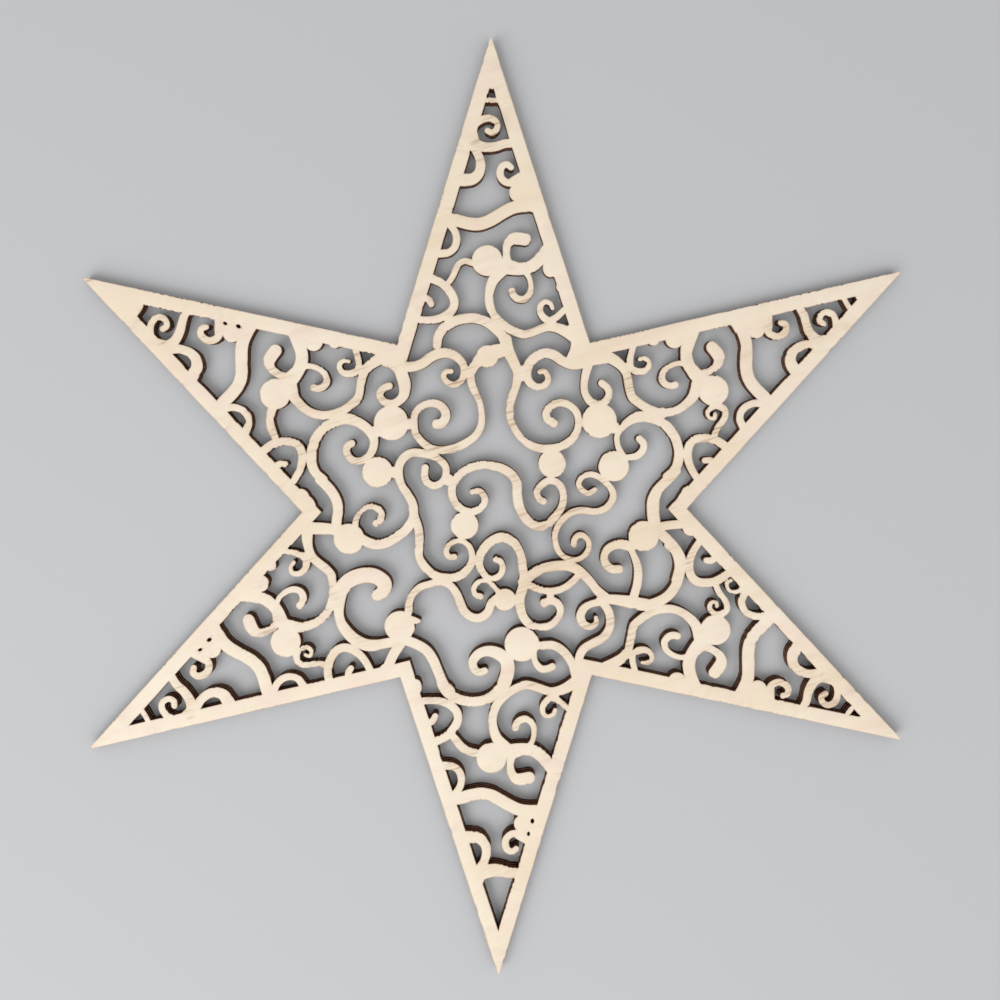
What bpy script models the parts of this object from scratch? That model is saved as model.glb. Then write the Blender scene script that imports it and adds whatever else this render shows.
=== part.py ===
# Six-pointed star ornament with scrollwork, cut from three-ply birch board
# Metres, lying flat with its front face up and one point towards +Y
import math

import bpy
import numpy as np
from mathutils import Vector
from mathutils.geometry import delaunay_2d_cdt

COLLECTION_NAME = "wooden_star_ornament"

# Board
EDGE_RADIUS = 0.135     # centre to the corner that the two edges of a point aim at
TIP_BLUNT = 0.0008      # what is missing of that corner
NOTCH_RADIUS = 0.055    # centre to the inner corner between two points
FRAME_WIDTH = 0.0041    # plain border along the outline
FACE_PLY = 0.0009       # each outer veneer
CORE_PLY = 0.0010       # the veneer between them
GLUE_LINE = 0.0001      # film of glue between two veneers

# Widths of the scrolls
THREAD = 0.0012
HAIR = 0.0015
FINE = 0.0018
CURL = 0.0021
STEM = 0.0025
RIB = 0.0029
HEAVY = 0.0036
TRUNK = 0.0044

# Radii of the beads
PEARL = 0.0017
KNOB = 0.0026
BEAD_S = 0.0032
BEAD_M = 0.0040
BEAD_L = 0.0044
BEAD_XL = 0.0050

BRIDGE = 0.0018         # width of a bridge to wood that would otherwise fall out

# Fineness of the cut line
STEPS = 12              # places worked out between two drawn ones
CELL = 0.0003           # spacing of the grid that the line is found on
FACET = 0.00072         # how far a straight facet may stray from the curve
SMALL_FACET = 0.2       # the same round a small opening, as a share of its breadth
FINER = 0.7             # and again as a share, for outlines that cross
RETRIES = 5             # how often crossing outlines are made finer
SHARP = math.radians(60)   # a turn that counts as a corner, within REACH cells either side
REACH = 3
SPARSE = 3              # one place in so many is tried as the end of a bridge
SPECK = 3e-7            # smallest opening that is cut, in square metres
THIN = math.radians(160)   # a turn too tight for the saw, so that corner is left out
INSIDE = 1              # kind of triangulation: only what an outline holds

# The drawing: a star with these radii, in drawing units
DRAWN_TIP = 476.0
DRAWN_NOTCH = 194.0

# The middle was drawn on a sheet that reads downwards, leans a little and is slightly small
SHEET_CENTRE = (495.0, 510.3)
SHEET_LEAN = 0.0185
SHEET_STRETCH = 1.0075

# Each point of the star: clockwise turn in degrees, mirrored or not, how far its pattern sits
# off its true place, and which of the scrolls and beads below it lacks
POINTS = {
    "top": (0, False, (2, 2), {
        "tendril_curl", "leaf_tendril", "edge_curl", "tip_fill", "bar_rise", "notch_bump"}),
    "upper_right": (60, True, (0, 2), {"leaf_tendril", "edge_curl", "tip_fill", "bar_rise"}),
    "lower_right": (120, False, (3, 5), {"leaf_tendril", "tip_fill", "bar_rise"}),
    "bottom": (180, True, (2, 2), {
        "tip_bar", "tip_curl", "tip_fill", "tip_bud", "bar_root", "tendril", "tendril_curl",
        "edge_curl", "scallop", "knob_fill"}),
    "lower_left": (240, False, (0, 0), {
        "leaf_tendril", "edge_curl", "tip_fill", "tip_bud", "bar_rise", "knob_fill"}),
    "upper_left": (300, False, (1, 0.5), {
        "tendril", "tendril_curl", "edge_curl", "bar_rise", "knob_fill"}),
}

# Scrolls of one point, tip up, in drawing units from the centre of the star: the places that
# each passes through and its widths along the way
POINT_SCROLLS = {
    "tip_bar": ([(-14, 410.5), (-1, 408.7), (12, 409.5)], [HAIR]),
    "tip_curl": ([
        (-20, 384), (-11, 390), (-3, 391), (3, 386.5), (3, 380), (-1.5, 376.5), (-6, 378.5),
    ], [CURL, CURL, FINE, FINE]),
    "upper_bar": ([
        (-34, 366), (-18, 363.5), (-6, 362), (3, 363), (11, 365.5), (30, 366),
    ], [HEAVY, RIB, STEM, STEM]),
    "bar_root": ([(-20.5, 378.5), (-16.8, 367.3), (-9, 363)], [CURL]),
    "bar_rise": ([
        (-22, 378), (-18.5, 370.5), (-10, 367), (0, 366.3), (12, 368.2), (24, 370),
    ], [STEM]),
    "upper_arch": ([
        (-22.5, 364), (-15.3, 354), (-13.3, 344), (-15.5, 335.8), (-21.5, 330.6), (-29, 329.7),
        (-44, 330),
    ], [STEM, STEM, RIB, HEAVY, HEAVY]),
    "upper_curl": ([
        (40, 325), (22, 326.5), (12.5, 327), (7, 331.5), (6, 337.5), (8, 343), (13, 345),
        (17, 342),
    ], [CURL, CURL, CURL, CURL, FINE]),
    "curl_root": ([(34, 337), (26, 332.3), (18, 327.5)], [STEM]),
    "upper_wave": ([
        (-70, 292), (-48, 291), (-38, 289.5), (-27, 286.5), (-17, 285.5), (-8, 287.5), (0, 291.5),
        (9, 297), (18, 301.5), (28, 303.5), (60, 303),
    ], [HEAVY]),
    "lower_arch": ([
        (-46, 287), (-39.5, 278), (-38, 269.5), (-40.5, 262), (-46, 257.5), (-53, 256.5),
        (-76, 257),
    ], [CURL, CURL, CURL, STEM, STEM]),
    "hook": ([
        (12, 246), (11.5, 257), (13, 265.5), (18, 270.5), (24, 271), (30.5, 270),
    ], [CURL, CURL, STEM, HEAVY, HEAVY]),
    "hook_root": ([(13, 255), (15.3, 248.4), (22, 245.5)], [THREAD]),
    "bead_stem": ([
        (-2, 244), (12, 241.5), (25, 240.5), (34, 242), (41, 246), (47, 252), (54, 261),
        (66, 276),
    ], [HEAVY]),
    "big_curl": ([
        (28, 240), (34, 232.5), (36, 222.5), (34, 214.5), (28.5, 210), (22, 211), (18, 215),
        (17, 218.5),
    ], [FINE, HAIR, FINE, CURL, CURL]),
    "big_ring": ([
        (8, 240), (-1.5, 229.5), (-5.5, 218), (-6, 209), (-4, 200), (0.5, 192), (7, 185.5),
        (15, 180), (22, 177), (28, 175), (36, 176.5), (44, 179.5), (52, 182), (61, 181.5),
        (69, 178.5), (80.5, 171.5),
    ], [HEAVY, STEM, STEM, STEM, STEM, HEAVY]),
    "ring_root": ([(-1.5, 225), (2.6, 232.4), (10, 236.7), (18, 238.5)], [THREAD]),
    "small_curl": ([
        (58, 186), (49, 191.5), (45, 198), (46, 204.5), (50.5, 207.5), (55.5, 205.5), (57.5, 201),
    ], [CURL, CURL, FINE, HAIR, THREAD]),
    "spur": ([(54, 188), (61, 191.5), (67, 197), (76, 206)], [CURL, FINE, FINE]),
    "side_arch": ([
        (-88, 240), (-72, 235), (-62, 231), (-53, 226.5), (-45.5, 219), (-41, 209.5), (-42, 202),
        (-47, 196), (-56, 191.5), (-66, 190), (-94, 192),
    ], [STEM, STEM, STEM, STEM, CURL, CURL]),
    "side_hook": ([(-84, 216), (-73, 213.5), (-66.5, 210.5), (-64, 206)], [CURL, CURL, FINE]),
    "tendril": ([
        (-12, 244), (-23, 247), (-30, 249), (-36, 246), (-39.5, 240), (-42.5, 233), (-48, 226),
    ], [FINE]),
    "base_arch": ([
        (-58.7, 165), (-57, 174), (-51.5, 182), (-41, 188.5), (-29, 191.5), (-18, 191),
        (-8.5, 187.5), (0, 181), (7, 173.5), (8.8, 169.5),
    ], [STEM, RIB, RIB, RIB, RIB, RIB]),
    "tendril_curl": ([
        (-30, 249), (-24, 245), (-21.5, 239), (-23.5, 233), (-29, 231.5), (-32, 235.5),
        (-29, 238.5),
    ], [FINE, HAIR, HAIR, THREAD, THREAD]),
    "edge_curl": ([
        (-59, 252), (-52.5, 249.5), (-49.5, 244.5), (-50.5, 238.5), (-54.5, 235.5), (-58.5, 237.5),
    ], [FINE, THREAD, THREAD, THREAD]),
    "leaf_tendril": ([
        (-8, 244), (-19, 244.5), (-29, 242.5), (-37, 238), (-42, 232), (-48, 224),
    ], [RIB, STEM, STEM, CURL]),
}

POINT_BEADS = {
    "knob": ((24, 316.5), KNOB),
    "bead": ((-7.5, 249), BEAD_L),
    "scallop": ((57, 241), KNOB),
    "small_scallop": ((67, 222.5), PEARL),
    "knob_fill": ((33, 315), PEARL),
    "tip_fill": ((0, 418), KNOB),
    "tip_bud": ((0, 425.5), PEARL),
    "notch_bump": ((-86, 176), KNOB),
}

# Scrolls of the middle, on their sheet
MIDDLE_SCROLLS = {
    "upper_left_neck": ([
        (392, 345), (397, 358), (400, 371), (404, 385), (402, 396), (393.5, 402.5), (384, 401),
        (379, 393.5), (382.5, 387.5), (388.5, 385),
    ], [HEAVY, HEAVY, HEAVY, STEM, CURL, CURL]),
    "neck_fillet": ([(384, 361), (392, 364.5), (399.5, 372.5), (402.3, 385)], [STEM]),
    "upper_left_scroll": ([
        (346, 418), (357, 420.5), (367, 427.5), (373.5, 437.5), (373, 447), (368.5, 455),
        (360.5, 459.5), (352.5, 458.5), (346.5, 451), (347.5, 444.5), (351.5, 442),
    ], [RIB, RIB, STEM, CURL, CURL, CURL]),
    "upper_left_leg": ([
        (320, 477.5), (329.5, 487), (336, 497), (338.5, 508), (337, 519), (337, 530),
    ], [RIB]),
    "long_left_scroll": ([
        (468.5, 370), (470.5, 383), (474.5, 393), (479, 403), (481, 413), (480.5, 424),
        (476, 434), (467, 441.5), (456, 447), (444, 449.5), (432, 448), (422, 441.5), (415, 432),
        (413.5, 421), (415, 412), (421, 405.5), (430, 402.5), (438, 404), (444, 410),
        (445, 416.5), (441, 422.5), (436.5, 423.5),
    ], [STEM, FINE, STEM, CURL, CURL, RIB]),
    "top_left_curl": ([
        (401, 365.5), (412, 366), (421, 363), (429, 357), (438, 353), (448, 353),
        (456, 357), (462, 364), (463, 373), (460, 380.5), (453, 384.5), (446, 381.5),
        (442.5, 375.5), (445.5, 371), (450, 371),
    ], [RIB, RIB, RIB, CURL, FINE, HAIR]),
    "top_link": ([
        (468.5, 374), (474, 364.5), (482, 357.5), (493, 352.5), (505, 349),
    ], [STEM, RIB, TRUNK, TRUNK, HEAVY]),
    "long_right_scroll": ([
        (504, 340), (506.5, 350), (511, 360), (515.5, 370), (516, 379), (514, 388), (511, 397),
        (509, 408), (510.5, 421), (516.5, 433), (525.5, 442.5), (537, 448), (549, 449),
        (561, 446.5), (571, 440), (576.5, 431), (578, 421), (575, 412), (568, 405.5), (559, 403),
        (550.5, 406), (545.5, 412.5), (546.5, 419), (553, 423.5),
    ], [HEAVY, STEM, CURL, STEM, CURL, STEM]),
    "top_right_curl": ([
        (604, 358), (592, 360.5), (580, 364), (570, 365), (561, 361.5), (554, 356.5),
        (546, 353.5), (538, 355), (530.5, 360.5), (526, 368.5), (526, 378), (531.5, 385.5),
        (539.5, 387), (546, 383), (546.5, 376), (542.5, 371.5), (538.5, 372),
    ], [HEAVY, RIB, RIB, RIB, CURL, HAIR]),
    "upper_right_neck": ([
        (592, 352), (588, 363), (584.5, 374), (583, 385), (584, 394), (589, 401.5), (597, 405.5),
        (604.5, 402), (608, 395), (606, 388.5), (600.5, 384),
    ], [RIB, STEM, CURL, STEM, CURL, CURL]),
    "upper_right_link": ([
        (645, 417.5), (632, 420), (622.5, 427), (617, 435.5), (616.5, 444), (619.5, 452),
        (624, 460),
    ], [RIB, RIB, CURL, FINE, FINE, CURL]),
    "upper_right_leg": ([
        (676, 472), (668, 481), (659, 490), (654, 500.5), (653.5, 512), (655, 526),
    ], [RIB, RIB, HEAVY, HEAVY]),
    "right_bead_curl": ([
        (618, 459), (628, 458.5), (636.5, 457), (642.5, 451), (643, 444.5), (639, 440),
    ], [CURL, FINE, CURL, CURL, CURL]),
    "right_double_scroll": ([
        (595, 490.5), (588.5, 494), (582.5, 491), (578.5, 484.5), (582, 478), (589.5, 475),
        (597.5, 477), (604.5, 482), (610.5, 488.5), (613.5, 496), (611, 504), (603.5, 510.5),
        (594, 512.5), (583, 511), (573.5, 512.5), (565.5, 517.5), (558.5, 526), (555.5, 535),
        (556.5, 545), (560.5, 553.5), (568, 559), (577, 560.5), (585, 556.5), (589.5, 549),
        (588.5, 541), (583, 536), (577.5, 537), (574.5, 542), (574.5, 545),
    ], [HAIR, FINE, CURL, FINE, HAIR, FINE]),
    "heart_scroll": ([
        (473, 491.5), (479, 491), (484, 495.5), (485, 501.5), (480, 508.5), (471.5, 511.5),
        (462.5, 509.5), (455.5, 502.5), (451.5, 493.5), (453, 483.5), (459, 475), (468, 468.5),
        (479, 465), (491, 465.5), (502, 468.5), (511, 474), (516.5, 482.5), (517, 493),
        (518.5, 503), (522.5, 514), (530, 522.5), (539, 527), (548.5, 524), (556, 516.5),
        (561.5, 508), (563.5, 498.5), (562, 489.5), (556.5, 482.5), (549, 481), (541.5, 485.5),
        (537, 492), (538.5, 498.5), (543.5, 501.5),
    ], [FINE, STEM, STEM, RIB, CURL, CURL]),
    "left_double_scroll": ([
        (425, 467), (424.5, 475), (427, 481.5), (433.5, 485), (441, 482.5), (445.5, 475.5),
        (445.5, 466.5), (440.5, 460), (432, 455), (422, 452.5), (411.5, 452), (403.5, 457),
        (399, 465.5), (399, 475.5), (403, 486), (409.5, 496), (413.5, 506), (413.5, 516),
        (408, 527), (398, 535.5), (387.5, 541.5), (376.5, 543.5), (366, 540), (355, 533),
    ], [CURL, CURL, STEM, STEM, RIB, RIB]),
    "left_branch": ([
        (413, 508), (415.5, 518), (419, 528.5), (420, 540), (419.5, 550), (421.5, 560),
        (427.5, 568.5), (436, 575), (447, 577.5), (458, 576.5), (467, 571), (472.5, 562),
        (472.5, 552.5), (469, 545), (462, 540.5), (454, 541.5), (448, 546.5), (447, 552.5),
        (450, 556.5), (455, 556.5),
    ], [STEM, STEM, STEM, STEM, HAIR, FINE]),
    "left_bar": ([
        (286, 525), (300, 525.5), (314, 526.5), (326, 527), (345, 529),
    ], [HEAVY, HEAVY, RIB]),
    "left_bead_curl": ([
        (355.5, 530), (356.5, 518.5), (361, 510.5), (368.5, 505.5), (376.5, 506.5), (381.5, 512),
        (381, 518), (376.5, 522),
    ], [FINE, FINE, HAIR, FINE, CURL, CURL]),
    "lower_left_hook": ([
        (333.5, 605), (336, 594), (343, 585), (352, 578), (362, 574.5), (371, 574), (380, 577.5),
        (385.5, 583.5), (383.5, 590.5), (378.5, 594),
    ], [STEM, HEAVY, TRUNK, TRUNK, TRUNK, HEAVY]),
    "lower_left_leg": ([
        (342.5, 622.5), (349, 631), (357, 638), (366, 642.5), (377, 644), (388, 642.5),
        (402, 640),
    ], [RIB]),
    "lower_left_wave": ([
        (405, 622), (409.5, 611), (410.5, 601), (414.5, 592.5), (421.5, 586.5), (431, 583.5),
        (441.5, 581.5), (451, 585), (457, 592.5), (461, 602), (465.5, 611.5), (473.5, 617.5),
        (481.5, 618), (489, 612.5), (493, 603), (499, 598),
    ], [STEM, CURL, CURL, STEM, STEM, STEM]),
    "thorn": ([(409, 620), (420, 620.5)], [HEAVY, THREAD]),
    "small_loop": ([
        (504, 596), (496.5, 589), (490, 581.5), (483.5, 580.5), (477.5, 583.5), (474.5, 589.5),
        (476.5, 595), (481.5, 596.5),
    ], [FINE, HAIR, HAIR, HAIR, HAIR, FINE]),
    "lower_loop": ([
        (496.5, 559.5), (501.5, 562), (503.5, 568), (501, 575), (494.5, 578.5), (487, 576.5),
        (481.5, 569), (480, 558.5), (484.5, 548.5), (492.5, 541), (502.5, 537.5), (512, 541),
        (518.5, 548), (522, 557), (523.5, 568), (525.5, 579),
    ], [FINE, FINE, STEM, RIB, STEM, STEM]),
    "lower_scroll": ([
        (525.5, 576), (524, 588), (521, 598), (521.5, 608), (525, 618), (532, 625.5), (542, 628),
        (551.5, 626.5), (559, 619.5), (562, 611.5), (558.5, 604), (551.5, 601.5), (545, 604),
    ], [RIB, RIB, STEM, CURL, CURL, STEM]),
    "lens_top": ([
        (524, 582.5), (530, 577.5), (539, 571), (548, 568), (558, 566.5), (568, 566.5), (577.5, 570),
        (585, 576), (591.5, 583), (598.5, 591.5), (608, 600),
    ], [RIB, RIB, RIB, RIB, STEM, RIB]),
    "lens_bottom": ([
        (524, 582.5), (532, 586.5), (542, 590.5), (552, 592), (562, 590), (571, 585), (579, 577),
        (581.5, 574),
    ], [CURL]),
    "lens_stud": ([(551.5, 592), (551.5, 601.5)], [CURL]),
    "shoulder": ([(570, 331), (575.3, 342.5), (574.3, 351.5), (570.3, 361)], [HEAVY]),
    "lower_right_bar": ([
        (601, 602), (609, 600.5), (620, 601.5), (635, 604), (648, 605.5),
    ], [STEM, RIB, HEAVY, RIB]),
    "right_knob_curl": ([
        (638, 546), (631, 547.5), (623, 545.5), (614.5, 546.5), (607.5, 551.5), (605, 559),
        (607.5, 566), (613.5, 570.5), (620, 570.5),
    ], [STEM, RIB, STEM, CURL, STEM, STEM]),
    "right_knob_stem": ([
        (629, 546), (635, 557), (639, 570), (639, 582), (636.5, 594), (633, 606),
    ], [CURL, CURL, STEM, STEM, STEM]),
    "right_bar": ([(704, 527), (688, 526), (672, 526.5), (656, 529)], [RIB, STEM, STEM]),
    "lower_right_leg": ([
        (655, 530), (666, 539), (675, 549), (680.5, 559.5), (681.5, 570), (678, 582),
    ], [RIB, RIB, HEAVY, RIB]),
    "bottom_scroll": ([
        (504.5, 675.5), (509.5, 670.5), (508, 662), (500.5, 654.5), (489.5, 651.5), (480, 654.5),
        (474.5, 662), (476, 669.5), (481.5, 673), (486.5, 671.5),
    ], [RIB, HEAVY, HEAVY, RIB, STEM, CURL]),
    "bottom_stem": ([(510, 658), (511.5, 671), (507.5, 684), (501, 692)], [RIB, RIB, HEAVY]),
    "bottom_leg": ([
        (404, 639), (417, 643.5), (427.5, 650), (434.5, 659.5), (439.5, 671), (444, 681.5),
        (452, 691.5),
    ], [RIB]),
    "lower_left_foot": ([(403, 642), (396, 652), (391, 663), (386, 676)], [RIB]),
    "bottom_branch": ([
        (528, 648), (545, 646.5), (555, 646.5), (564, 651.5), (571, 659.5), (576, 670),
        (580, 684),
    ], [STEM, STEM, STEM, STEM, RIB]),
    "bottom_curl": ([
        (535, 653.5), (537.5, 663.5), (543, 670), (550, 670), (554.5, 668),
    ], [FINE, FINE, CURL, CURL, CURL]),
    "lower_right_stem": ([
        (601.5, 601.5), (609, 610.5), (612, 620.5), (611, 630.5), (604.5, 639.5), (594.5, 645),
        (586, 650), (581.5, 658), (580.5, 670.5),
    ], [CURL, STEM, STEM, STEM, STEM, STEM]),
    "lower_right_curl": ([
        (602, 603.5), (593, 605), (585, 610), (582, 618), (585.5, 625.5), (593, 628),
        (598, 624), (597.5, 619),
    ], [CURL, CURL, STEM, STEM, FINE, THREAD]),
}

MIDDLE_BEADS = {
    "upper_left_bead": ((391, 422), BEAD_XL),
    "left_bead": ((377.5, 471), BEAD_L),
    "heart_bead": ((552, 464), BEAD_M),
    "upper_right_bead": ((598.5, 421.5), BEAD_XL),
    "right_bead": ((613.5, 467), BEAD_L),
    "lower_left_knob": ((349.5, 537.5), BEAD_L),
    "inner_bead": ((465, 525), BEAD_M),
    "lower_left_bead": ((401, 625.5), BEAD_L),
    "small_bead": ((506, 600), BEAD_S),
    "right_knob": ((644.5, 537.5), BEAD_L),
    "bottom_bead": ((523.5, 645), BEAD_XL),
    "top_bead": ((486, 356.5), BEAD_S),
    "left_notch": ((302.5, 506), BEAD_M),
    "right_notch": ((691, 504.5), BEAD_M),
    "lower_left_fill": ((253.5, 590), PEARL),
    "right_arch_fill": ((661, 414.5), PEARL),
    "bead_tie_left": ((375.5, 430.5), PEARL),
    "bead_tie_right": ((409, 423), PEARL),
    "left_bead_tie": ((393.5, 471.5), PEARL),
    "heart_tie": ((448.5, 479.5), PEARL),
    "right_bead_tie": ((613.5, 428.5), PEARL),
}


def edge_distance(angle, tip, notch):
    # Centre to outline of a six-pointed star, along a direction
    sector = math.pi / 6
    off = np.abs((angle - math.pi / 2 + sector) % (2 * sector) - sector)
    return tip * notch * math.sin(sector) / (tip * np.sin(off) + notch * np.sin(sector - off))


def to_board(points):
    # Drawing units to metres, following the outline wherever it is put
    angle = np.arctan2(points[:, 1], points[:, 0])
    scale = edge_distance(angle, EDGE_RADIUS, NOTCH_RADIUS)
    scale /= edge_distance(angle, DRAWN_TIP, DRAWN_NOTCH)
    return points * scale[:, None]


def from_point(points, turn, mirrored, nudge):
    # A point's own drawing, tip up, turned to its place in the star
    x, y = (np.array(points, float) + nudge).T
    if mirrored:
        x = -x
    c = math.cos(math.radians(turn))
    s = math.sin(math.radians(turn))
    return np.stack([x * c + y * s, y * c - x * s], axis=1)


def from_sheet(points):
    x, y = (np.array(points, float) - SHEET_CENTRE).T
    return np.stack([x - SHEET_LEAN * y, -y], axis=1) * SHEET_STRETCH


def blend(a, b, start, end, t):
    return ((end - t) * a + (t - start) * b) / (end - start)


def smooth(points):
    # Centripetal Catmull-Rom curve through the drawn points
    p = np.vstack([2 * points[0] - points[1], points, 2 * points[-1] - points[-2]])
    knots = np.sqrt(np.linalg.norm(np.diff(p, axis=0), axis=1)).cumsum()
    knots = np.concatenate([[0], knots])
    curve = []
    for i in range(len(p) - 3):
        k0, k1, k2, k3 = knots[i:i + 4]
        t = np.linspace(k1, k2, STEPS, endpoint=False)[:, None]
        a1 = blend(p[i], p[i + 1], k0, k1, t)
        a2 = blend(p[i + 1], p[i + 2], k1, k2, t)
        a3 = blend(p[i + 2], p[i + 3], k2, k3, t)
        b1 = blend(a1, a2, k0, k2, t)
        b2 = blend(a2, a3, k1, k3, t)
        curve.append(blend(b1, b2, k1, k2, t))
    return np.vstack(curve + [points[-1:]])


def scroll_discs(points, widths):
    # A scroll as a close row of discs, its width passing evenly through the given widths
    path = to_board(smooth(points))
    run = np.linalg.norm(np.diff(path, axis=0), axis=1).cumsum()
    run = np.concatenate([[0], run])
    at = np.linspace(0, run[-1], int(run[-1] / CELL) + 2)
    stations = np.linspace(0, run[-1], len(widths))
    x = np.interp(at, run, path[:, 0])
    y = np.interp(at, run, path[:, 1])
    return np.stack([x, y, np.interp(at, stations, widths) / 2], axis=1)


def bead_disc(centre, radius):
    return np.append(to_board(centre)[0], radius)[None]


def all_discs():
    discs = []
    for turn, mirrored, nudge, lacking in POINTS.values():
        for name, (points, widths) in POINT_SCROLLS.items():
            if name not in lacking:
                discs.append(scroll_discs(from_point(points, turn, mirrored, nudge), widths))
        for name, (centre, radius) in POINT_BEADS.items():
            if name not in lacking:
                discs.append(bead_disc(from_point([centre], turn, mirrored, nudge), radius))
    for points, widths in MIDDLE_SCROLLS.values():
        discs.append(scroll_discs(from_sheet(points), widths))
    for centre, radius in MIDDLE_BEADS.values():
        discs.append(bead_disc(from_sheet([centre]), radius))
    return np.vstack(discs)


def depth_in_star(x, y):
    # How far inside the outline a place is, measured square to the nearest edge
    sector = math.pi / 6
    off = (np.arctan2(y, x) - math.pi / 2 + sector) % (2 * sector) - sector
    out = np.hypot(x, y)
    along = NOTCH_RADIUS * math.cos(sector) - EDGE_RADIUS
    across = NOTCH_RADIUS * math.sin(sector)
    edge = math.hypot(along, across)
    return (across * (EDGE_RADIUS - out * np.cos(off)) + along * out * np.abs(np.sin(off))) / edge


def wood_field(discs):
    # Positive in wood, negative in openings, in metres from the cut line
    half = EDGE_RADIUS + 2 * CELL
    axis = np.arange(-half, half + CELL, CELL)
    x, y = np.meshgrid(axis, axis)
    depth = depth_in_star(x, y)
    field = FRAME_WIDTH - depth
    for cx, cy, r in discs:
        reach = r + 2 * CELL
        i0, i1 = np.searchsorted(axis, (cx - reach, cx + reach))
        j0, j1 = np.searchsorted(axis, (cy - reach, cy + reach))
        here = r - np.hypot(x[j0:j1, i0:i1] - cx, y[j0:j1, i0:i1] - cy)
        np.maximum(field[j0:j1, i0:i1], here, out=field[j0:j1, i0:i1])
    blunt = EDGE_RADIUS - TIP_BLUNT - np.hypot(x, y)
    return axis, np.minimum(field, np.minimum(depth, blunt))


# Where the cut line enters and leaves a cell, by which of its corners are wood:
# 1 low left, 2 low right, 4 high right, 8 high left; wood stays on the line's left
CELL_LINES = {
    1: ["BL"], 2: ["RB"], 3: ["RL"], 4: ["TR"], 5: ["BL", "TR"], 6: ["TB"], 7: ["TL"],
    8: ["LT"], 9: ["BT"], 10: ["RB", "LT"], 11: ["RT"], 12: ["LR"], 13: ["BR"], 14: ["LB"],
}


def cut_lines(discs):
    # Closed lines round the wood, one per opening and one round the outside
    axis, field = wood_field(discs)
    wood = field > 0
    code = wood[:-1, :-1] + 2 * wood[:-1, 1:] + 4 * wood[1:, 1:] + 8 * wood[1:, :-1]
    follows = {}
    for j, i in np.argwhere((code > 0) & (code < 15)):
        sides = {"B": (j, i, 0), "T": (j + 1, i, 0), "L": (j, i, 1), "R": (j, i + 1, 1)}
        for start, end in CELL_LINES[code[j, i]]:
            follows[sides[start]] = sides[end]
    lines = []
    while follows:
        side = next(iter(follows))
        line = []
        while side in follows:
            j, i, upright = side
            f0 = field[j, i]
            f1 = field[j + upright, i + 1 - upright]
            step = CELL * f0 / (f0 - f1)
            line.append((axis[i] + step * (1 - upright), axis[j] + step * upright))
            side = follows.pop(side)
        lines.append(np.array(line))
    return [line for line in lines if abs(area(line)) > SPECK]


def area(line):
    # Negative for an opening
    x, y = line.T
    return (x * np.roll(y, -1) - y * np.roll(x, -1)).sum() / 2


def encloses(line, place):
    ends = np.roll(line, -1, axis=0)
    astride = (line[:, 1] > place[1]) != (ends[:, 1] > place[1])
    a = line[astride]
    b = ends[astride]
    meets = a[:, 0] + (place[1] - a[:, 1]) * (b[:, 0] - a[:, 0]) / (b[:, 1] - a[:, 1])
    return (meets > place[0]).sum() % 2 == 1


def bridge(island, lines):
    # A straight row of discs from loose wood to the nearest wood round it
    walls = [line for line in lines if line is not island and not encloses(island, line[0])]
    walls = np.vstack(walls)[::SPARSE]
    starts = island[::SPARSE]
    gaps = np.linalg.norm(starts[:, None] - walls[None], axis=2)
    a, b = np.unravel_index(gaps.argmin(), gaps.shape)
    t = np.linspace(0, 1, int(gaps[a, b] / CELL) + 2)[:, None]
    return np.insert(starts[a] + t * (walls[b] - starts[a]), 2, BRIDGE / 2, axis=1)


def loose_wood(lines):
    # Outlines of wood that holds on to nothing: all but the one round the whole sheet
    return [line for line in sorted(lines, key=area)[:-1] if area(line) > 0]


def joined_lines():
    # The cut lines of one sheet: if changed sizes leave wood loose, it is bridged
    discs = all_discs()
    lines = cut_lines(discs)
    while loose_wood(lines):
        discs = np.vstack([discs] + [bridge(island, lines) for island in loose_wood(lines)])
        lines = cut_lines(discs)
    return lines


def stray(line, a, b):
    # Signed distances of the places between two corners from the straight facet that joins them
    count = len(line)
    chord = line[b % count] - line[a % count]
    between = line[np.arange(a + 1, b) % count] - line[a % count]
    return (chord[0] * between[:, 1] - chord[1] * between[:, 0]) / max(np.hypot(*chord), 1e-9)


def sharp_corners(line):
    # Places where the line turns most within a short reach, and by more than a bend would
    ahead = np.roll(line, -REACH, axis=0) - line
    behind = line - np.roll(line, REACH, axis=0)
    cross = behind[:, 0] * ahead[:, 1] - behind[:, 1] * ahead[:, 0]
    turn = np.abs(np.arctan2(cross, (ahead * behind).sum(axis=1)))
    most = np.max([np.roll(turn, k) for k in range(-REACH, REACH + 1)], axis=0)
    return list(np.flatnonzero((turn == most) & (turn > SHARP))) or [0]


def facet_corners(line, allowed):
    # From each sharp corner on, every facet grows until it would stray too far from the curve
    corners = []
    sharp = sharp_corners(line)
    for start, end in zip(sharp, sharp[1:] + [sharp[0] + len(line)]):
        while start < end:
            corners.append(start)
            stop = start + 2
            while stop < end and np.abs(stray(line, start, stop + 1)).max() < allowed:
                stop += 1
            start = min(stop, end)
    return corners


def blunted(outline):
    # Corners where the outline doubles back on itself are left out, the tightest first
    while len(outline) > 3:
        ahead = np.roll(outline, -1, axis=0) - outline
        behind = outline - np.roll(outline, 1, axis=0)
        cross = behind[:, 0] * ahead[:, 1] - behind[:, 1] * ahead[:, 0]
        turn = np.abs(np.arctan2(cross, (ahead * behind).sum(axis=1)))
        if turn.max() < THIN:
            break
        outline = np.delete(outline, turn.argmax(), axis=0)
    return outline


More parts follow.
